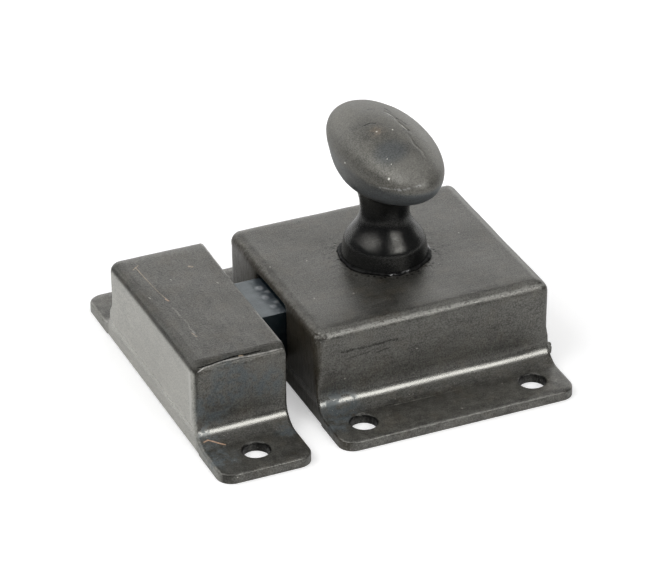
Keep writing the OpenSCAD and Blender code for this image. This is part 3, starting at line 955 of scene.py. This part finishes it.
# Spring
# Drawn steel wire wound to a coil with closed ends. It sits on the spigot of the bolt's tail
# and bears on the end flap; in the latch it shortens as the bolt is drawn back, but here it is
# wound at one length and stays with the case.
spring_low, spring_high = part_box("spring")
WIRE = 0.25 * MM
COIL = 2.2 * MM
TURNS = 8
END_REST = 0.6
spring_z = (spring_low.z + spring_high.z) / 2
coil_start = spring_low.x + WIRE
coil_length = spring_high.x - spring_low.x - 2 * WIRE
bpy.ops.mesh.primitive_circle_add(vertices=10, radius=WIRE, location=(coil_start, COIL, spring_z))
spring = settle("return_spring")
work(spring, lambda place, normal: Vector((0, 0, -spring_z)))
use(spring, "SCREW", axis="X", angle=2 * math.pi * TURNS, screw_offset=coil_length, steps=28 * TURNS,
    render_steps=28 * TURNS, iterations=1, use_merge_vertices=False)
edit(spring)
pick("edges", lambda e: e.is_boundary)
bpy.ops.mesh.edge_face_add()
close_edit()


def close_ends(place, normal):
    """Draws the first and last turns flat, as ground ends lie."""
    turn = (math.atan2(place.z, place.y) / (2 * math.pi)) % 1
    free = (place.x - coil_start) / coil_length * TURNS
    count = turn + round(free - turn)
    share = max(0.0, min(1.0, (count - END_REST) / (TURNS - 2 * END_REST)))
    return Vector((coil_length * (share - count / TURNS), 0, spring_z))


work(spring, close_ends)
finish_mesh(spring, angle=60)
WIRE_DARK = (0.20, 0.195, 0.18, 1)
WIRE_LIGHT = (0.36, 0.35, 0.33, 1)
spring_wire = rolled_steel("spring_wire", WIRE_DARK, WIRE_LIGHT, (1.0, 0.3, 0.3), 0.26)
dress(spring, spring_wire, "housing", "spring")
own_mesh(spring)


# Knob
# One iron casting: a round foot, a waisted neck and an oval head, left with the skin and flaws
# of its mould. It is pressed on the spindle, and the wax is thicker and glossier below the head.
knob_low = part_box("knob")[0]
FOOT_R, FOOT_H, FOOT_DRAFT = 7.0, 2.4, 0.36
NECK_R, NECK_H, NECK_FLARE = 3.9, 6.1, 1.0
HEAD_B, HEAD_A, GIRTH_H, BELLY, CROWN = 7.65, 14.9, 10.0, 5.45, 4.95
WAIST_POWER = 1.35
HEAD_BLEND = 0.25
NECK_Z = FOOT_H + NECK_H
GIRTH_Z = NECK_Z + GIRTH_H


def stem_radius(z):
    """Radius of foot, waist and flaring neck, in millimetres above the foot's bottom."""
    if z <= FOOT_H:
        return FOOT_R - FOOT_DRAFT * z / FOOT_H
    if z <= NECK_Z:
        return NECK_R + (FOOT_R - FOOT_DRAFT - NECK_R) * smooth(((NECK_Z - z) / NECK_H) ** WAIST_POWER)
    return NECK_R + NECK_FLARE * ((z - NECK_Z) / (GIRTH_H / 2)) ** 2


def soft(share):
    """A share that starts softly from nothing."""
    return (share + math.hypot(share, HEAD_BLEND)) / 2


def head_share(z):
    """Square of the head's half axis as a share of its girth, with a soft start on the underside."""
    if z > GIRTH_Z:
        return max(0.0, 1 - ((z - GIRTH_Z) / CROWN) ** 2)
    return soft(1 - ((z - GIRTH_Z) / BELLY) ** 2) / soft(1)


def knob_axis(girth, z):
    """Half axis of the section at height z, where the head's girth has this half axis."""
    head = girth * math.sqrt(head_share(z))
    if z >= GIRTH_Z:
        return head
    return math.hypot(head * smooth(z / NECK_Z), stem_radius(z) * smooth((GIRTH_Z - z) / BELLY))


WAIST_RINGS = 34
CROWN_RINGS = 14
heights = [0.0, 0.15, 0.5, FOOT_H / 2, FOOT_H - 0.3]
heights += [FOOT_H + (GIRTH_Z - FOOT_H) * k / WAIST_RINGS for k in range(WAIST_RINGS + 1)]
heights += [GIRTH_Z + CROWN * math.sin(math.pi / 2 * k / CROWN_RINGS) for k in range(1, CROWN_RINGS)]
knob_seat = Vector((0, SPINDLE_Y, knob_low.z))
bpy.ops.mesh.primitive_circle_add(vertices=80, radius=MM, fill_type="NGON", location=knob_seat)
knob = settle("turn_knob_casting")
edit(knob)
bpy.ops.mesh.select_all(action="SELECT")
wide, long = 1.0, 1.0
for ring, z in enumerate(heights):
    if ring:
        pull(0, 0, (z - heights[ring - 1]) * MM)
    new_wide, new_long = knob_axis(HEAD_B, z), knob_axis(HEAD_A, z)
    bpy.ops.transform.resize(value=(new_wide / wide, new_long / long, 1),
                             center_override=(0, SPINDLE_Y, knob_low.z + z * MM))
    wide, long = new_wide, new_long
pull(0, 0, (GIRTH_Z + CROWN - heights[-1]) * MM)
bpy.ops.mesh.merge(type="CENTER")
bpy.ops.mesh.select_all(action="SELECT")
bpy.ops.mesh.normals_make_consistent(inside=False)
close_edit()
use(knob, "SUBSURF", levels=2, render_levels=2)

LIP = [(1.67, 3.62, 23.17), (2.15, 1.46, 23.22), (2.03, -0.31, 23.27), (2.51, -3.26, 23.04)]
LIP_END = [(2.06, -4.58, 23.02), (1.70, -7.02, 22.72), (2.32, -8.97, 22.15), (2.16, -9.98, 21.90)]
CREASES = [([Vector(p) * MM for p in line], deep) for line, deep in ((LIP, 0.10), (LIP_END, 0.05))]
PIT = Vector((-2.25, -1.85, 23.2)) * MM
DENT = Vector((-2.3, -7.4, 22.5)) * MM
SKIN_WAVE, SKIN_GRAIN, PIT_DEEP, DENT_DEEP = 0.05, 0.02, 0.05, 0.06


def crease_depth(place):
    """How deep the mould's flaw lies at a place: a step down on one side of its lip."""
    depth = 0.0
    for points, deep in CREASES:
        for start, end in zip(points, points[1:]):
            line = end - start
            share = max(0.0, min(1.0, (place - start).dot(line) / line.length_squared))
            gap = (place - start - line * share).length
            depth = max(depth, deep * smooth(1 - gap / (0.36 * MM)))
    return depth


def work_knob(place, normal):
    """The skin of the casting, its crease and a sunken spot on the crown."""
    seat = place - knob_seat
    head = smooth((seat.z - 12 * MM) / (5 * MM))
    foot = smooth(seat.z / (0.8 * MM))
    push = SKIN_WAVE * noise.noise(place / (5.5 * MM)) * foot
    push += SKIN_GRAIN * noise.noise(place / (1.4 * MM)) * foot
    push -= crease_depth(seat)
    push -= PIT_DEEP * smooth(1 - (seat - PIT).length / (1.2 * MM))
    push -= DENT_DEEP * smooth(1 - (seat - DENT).length / (4 * MM)) * head
    return normal * push * MM


work(knob, work_knob)
SHANK_HOLE = 2.22 * MM
SHANK_DEPTH = 11.3 * MM
cut(knob, new_rod("shank_hole", SHANK_HOLE, (0, SPINDLE_Y, knob_low.z - 3 * MM),
                  (0, SPINDLE_Y, knob_low.z + SHANK_DEPTH)))
finish_mesh(knob, angle=45)

made, tree, shader, place = new_material("knob_casting")
KNOB_DRAW = (0.8, 0.8, 0.8)
skin = use_group(tree, wax_skin, Vector=place, Draw=KNOB_DRAW)
spot = split(tree, place)
height_up = maths(tree, "SUBTRACT", spot["Z"], knob_low.z)
facing = direction(tree)["Z"]
head = ranged(tree, height_up, 10.0 * MM, 16.0 * MM)
IRON_BLACK = (0.005, 0.0055, 0.006, 1)
IRON_DARK = (0.016, 0.0155, 0.012, 1)
IRON_LIGHT = (0.066, 0.062, 0.050, 1)
IRON_BLUE = (0.036, 0.038, 0.041, 1)
BROWN = (0.13, 0.09, 0.055, 1)
LIP_GLINT = (0.50, 0.49, 0.45, 1)
WHITE_SPECK = (0.8, 0.78, 0.72, 1)
iron = tinted(tree, ranged(tree, skin["Tone"], *TONE), IRON_DARK, IRON_LIGHT)
dent = times(tree, within_ball(tree, place, knob_seat + DENT, 3.6 * MM), 0.75)
under = times(tree, ranged(tree, facing, 0.05, -0.35), head)
cool = maths(tree, "MAXIMUM", dent, under)
iron = tinted(tree, cool, iron, IRON_BLUE)
# Painted highlight on the front of the head and painted sheen on its right side, where the lamps are reflected.
HEAD_FRONT_GLINT = Vector((-0.6, -12.2, 20.9)) * MM
right = times(tree, ranged(tree, spot["X"], 2.0 * MM, 6.0 * MM), ranged(tree, facing, 0.0, 0.3))
painted_head_sheen = maths(tree, "MAXIMUM", within_ball(tree, place, knob_seat + HEAD_FRONT_GLINT, 4.6 * MM), right)
iron = over(tree, iron, RUB_AND_SHEEN, painted_head_sheen, 0.45)
colour = tinted(tree, head, IRON_BLACK, iron)
stain = within_ball(tree, place, knob_seat + PIT, 2.0 * MM)
stain = times(tree, stain, ranged(tree, skin["Tone"], 0.44, 0.58))
colour = tinted(tree, stain, colour, BROWN)
shine = maths(tree, "ADD", ranged(tree, height_up, 11.0 * MM, 16.5 * MM, 0.22, 1.16),
              ranged(tree, height_up, 7.5 * MM, 4.5 * MM, 0.0, 0.17))
shine = less(tree, less(tree, shine, dent, 0.22), under, 0.18)
SHADOWS = [
    [(2.22, 5.00, 22.93), (2.46, 3.17, 23.06)], [(1.68, 2.28, 23.26), (1.94, 1.01, 23.27)],
    [(2.40, 0.90, 23.20), (3.07, -1.37, 23.01)], [(1.96, -2.80, 23.18), (2.45, -3.52, 23.04)],
    [(-0.46, 5.39, 23.10), (0.46, 5.02, 23.15)],
    [(-3.37, 0.91, 22.92), (-2.18, 0.86, 23.23), (-1.50, 0.33, 23.35)]]
# A painted highlight along the girth of the head.
RIM_GLINT = [(-5.5, -10.3, 18.4), (-3.4, -13.3, 18.9), (-0.6, -14.5, 19.6)]
# Painted highlights on the lip of the crease, fainter and broken towards its end.
STROKES = [(LIP, 0.15, 0.15, 0.25, LIP_GLINT, 0.0), (LIP_END, 0.13, 0.3, 0.8, RUB_AND_SHEEN, 0.0)]
STROKES += [(line, 0.20, 0.25, 0.5, IRON_BLACK, 0.75) for line in SHADOWS]
STROKES += [(RIM_GLINT, 0.24, 0.5, 1.0, grey(0.23), 0.0)]
colour, shine, height = scratched(
    tree, place, STROKES, knob_seat, 1.0, colour, shine, skin["Height"])
specks = flecks(tree, place, 0.9, 0.4, 0.12)
colour = over(tree, colour, DUST, specks, head, 0.4)
SPECKS = [((-4.4, -11.25, 20.0), 0.26), ((-2.26, -1.85, 23.2), 0.22), ((0.13, -2.63, 23.36), 0.17),
          ((-7.55, -1.7, 18.75), 0.2), ((-3.43, -8.44, 21.9), 0.13), ((-3.3, -9.7, 21.6), 0.13)]
for centre, radius in SPECKS:
    speck = within_ball(tree, place, knob_seat + Vector(centre) * MM, radius * MM)
    colour = tinted(tree, speck, colour, WHITE_SPECK)
satin = ranged(tree, skin["Tone"], *TONE, 0.42, 0.54)
gloss = ranged(tree, clouds(tree, place, 2.2 * MM, 4), 0.3, 0.7, 0.14, 0.24)
rough = add_node(tree, "MapRange", Value=head, To_Min=gloss, To_Max=satin).outputs["Result"]
plug(tree, shader, Base_Color=colour, Roughness=rough)
wax_shine(tree, shader, skin["Grain"], 1.95, shine, cool)
bump(tree, shader, height, 0.12 * MM, 0.45)
dress(knob, made, "turn_knob", "knob")


# Wax round the foot
# Black wax that ran down the knob and set in an uneven, glossy bead in the joint with the case.
BEAD_R = 7.05 * MM
BEAD_ROUND = 0.42 * MM
bpy.ops.mesh.primitive_torus_add(
    location=(0, SPINDLE_Y, case_high.z + 0.05 * MM), major_radius=BEAD_R, minor_radius=BEAD_ROUND,
    major_segments=360, minor_segments=18)
bead = settle("wax_bead")


def work_bead(place, normal):
    """Runs and lumps of set wax, spread unevenly over the case."""
    out = Vector((place.x, place.y - SPINDLE_Y, 0)).normalized()
    lumps = noise.noise(place / (2.4 * MM)) + 0.35 * noise.noise(place / (0.7 * MM))
    spread = max(0.0, normal.dot(out))
    return normal * 0.07 * MM * lumps + out * spread * 0.5 * MM * max(-0.3, lumps)


work(bead, work_bead)
finish_mesh(bead, angle=60)
made, tree, shader, place = new_material("set_wax")
ripple = clouds(tree, place, 0.8 * MM, 4)
WAX_RIPPLE = (0.014, 0.014, 0.013, 1)
WET = [((-1.8, -6.3, 15.8), 1.0), ((0.4, -6.5, 15.8), 1.1), ((7.2, -0.4, 15.8), 2.0)]
wet = 0.0
for centre, reach in WET:
    wet = maths(tree, "MAXIMUM", wet, within_ball(tree, place, Vector(centre) * MM, reach * MM))
plug(tree, shader, Base_Color=tinted(tree, ranged(tree, ripple, 0.35, 0.65), BLACK_WAX_AND_SHADE, WAX_RIPPLE),
     Roughness=ranged(tree, wet, 0.0, 1.0, 0.45, 0.06),
     Specular_IOR_Level=ranged(tree, wet, 0.0, 1.0, 0.10, 1.0))
bump(tree, shader, ripple, 0.1 * MM, 0.3)
bead.data.materials.clear()
bead.data.materials.append(made)
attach(bead, "housing")


# Table, light and camera
# A white table under a white tent, lit by soft lights from the left, from above and from behind
# and by a small strong one in front, seen from the front left with a long lens.
FLOOR_SIZE = 6.0
bpy.ops.mesh.primitive_plane_add(size=FLOOR_SIZE, location=(0, 0, -0.02 * MM))
table = settle("table")
made, tree, shader = new_material("white_table")[:3]
rays = tree.nodes.new("ShaderNodeLightPath").outputs
plug(tree, shader, Base_Color=grey(0.86), Roughness=0.6, Specular_IOR_Level=0.2, Emission_Color=grey(1),
     Emission_Strength=times(tree, rays["Is Camera Ray"], 0.36))
table.data.materials.append(made)

world = bpy.data.worlds.new("room")
world.use_nodes = True
bpy.context.scene.world = world
tree = world.node_tree
rays = tree.nodes.new("ShaderNodeLightPath").outputs
ROOM = 0.12
plug(tree, tree.nodes["Background"], Color=grey(1),
     Strength=ranged(tree, rays["Is Camera Ray"], 0.0, 1.0, ROOM, 1.0))
LIGHT_REACH = 0.8


def outward(turn, rise):
    """The way out from the latch at angles in degrees: turn from the front, rise from the table."""
    turn, rise = math.radians(turn), math.radians(rise)
    return Vector((math.sin(turn) * math.cos(rise), -math.cos(turn) * math.cos(rise), math.sin(rise)))


def softbox(name, turn, rise, width, height, radiance):
    """A rectangular area light round the latch, aimed at its origin."""
    away = outward(turn, rise)
    light = bpy.data.lights.new(name, "AREA")
    light.shape = "RECTANGLE"
    light.size = width
    light.size_y = height
    light.energy = math.pi * width * height * radiance
    lamp = bpy.data.objects.new(name, light)
    lamp.location = away * LIGHT_REACH
    lamp.rotation_euler = (-away).to_track_quat("-Z", "Y").to_euler()
    lamp.visible_camera = False
    bpy.context.scene.collection.objects.link(lamp)


softbox("left_light", -92, 48, 0.90, 0.42, 2.6)
softbox("top_light", 0, 89, 1.10, 1.00, 0.75)
softbox("front_light", 18, 33, 0.40, 0.22, 6.2)
softbox("back_light", 138, 18, 1.20, 0.42, 1.55)
softbox("far_left_light", -165, 18, 0.55, 0.42, 1.55)

PHOTO_WIDTH = 665
VIEW_TURN = -23.5693
VIEW_RISE = 30.8428
VIEW_ROLL = math.radians(-0.3138)
VIEW_FOCAL = 3933.1
VIEW_REACH = 644.29 * MM
VIEW_AIM = Vector((-2.3124, 16.2671, 0)) * MM
SENSOR = 36.0
back = outward(VIEW_TURN, VIEW_RISE)
camera = bpy.data.objects.new("camera", bpy.data.cameras.new("camera"))
bpy.context.scene.collection.objects.link(camera)
camera.data.sensor_fit = "HORIZONTAL"
camera.data.sensor_width = SENSOR
camera.data.lens = VIEW_FOCAL / PHOTO_WIDTH * SENSOR
camera.data.clip_start = 0.01
camera.data.clip_end = 50.0
camera.location = VIEW_AIM + back * VIEW_REACH
camera.rotation_euler = (-back).to_track_quat("-Z", "Y").to_euler()
camera.rotation_euler.rotate_axis("Z", VIEW_ROLL)
bpy.context.scene.camera = camera
bpy.context.scene.view_settings.view_transform = "Standard"
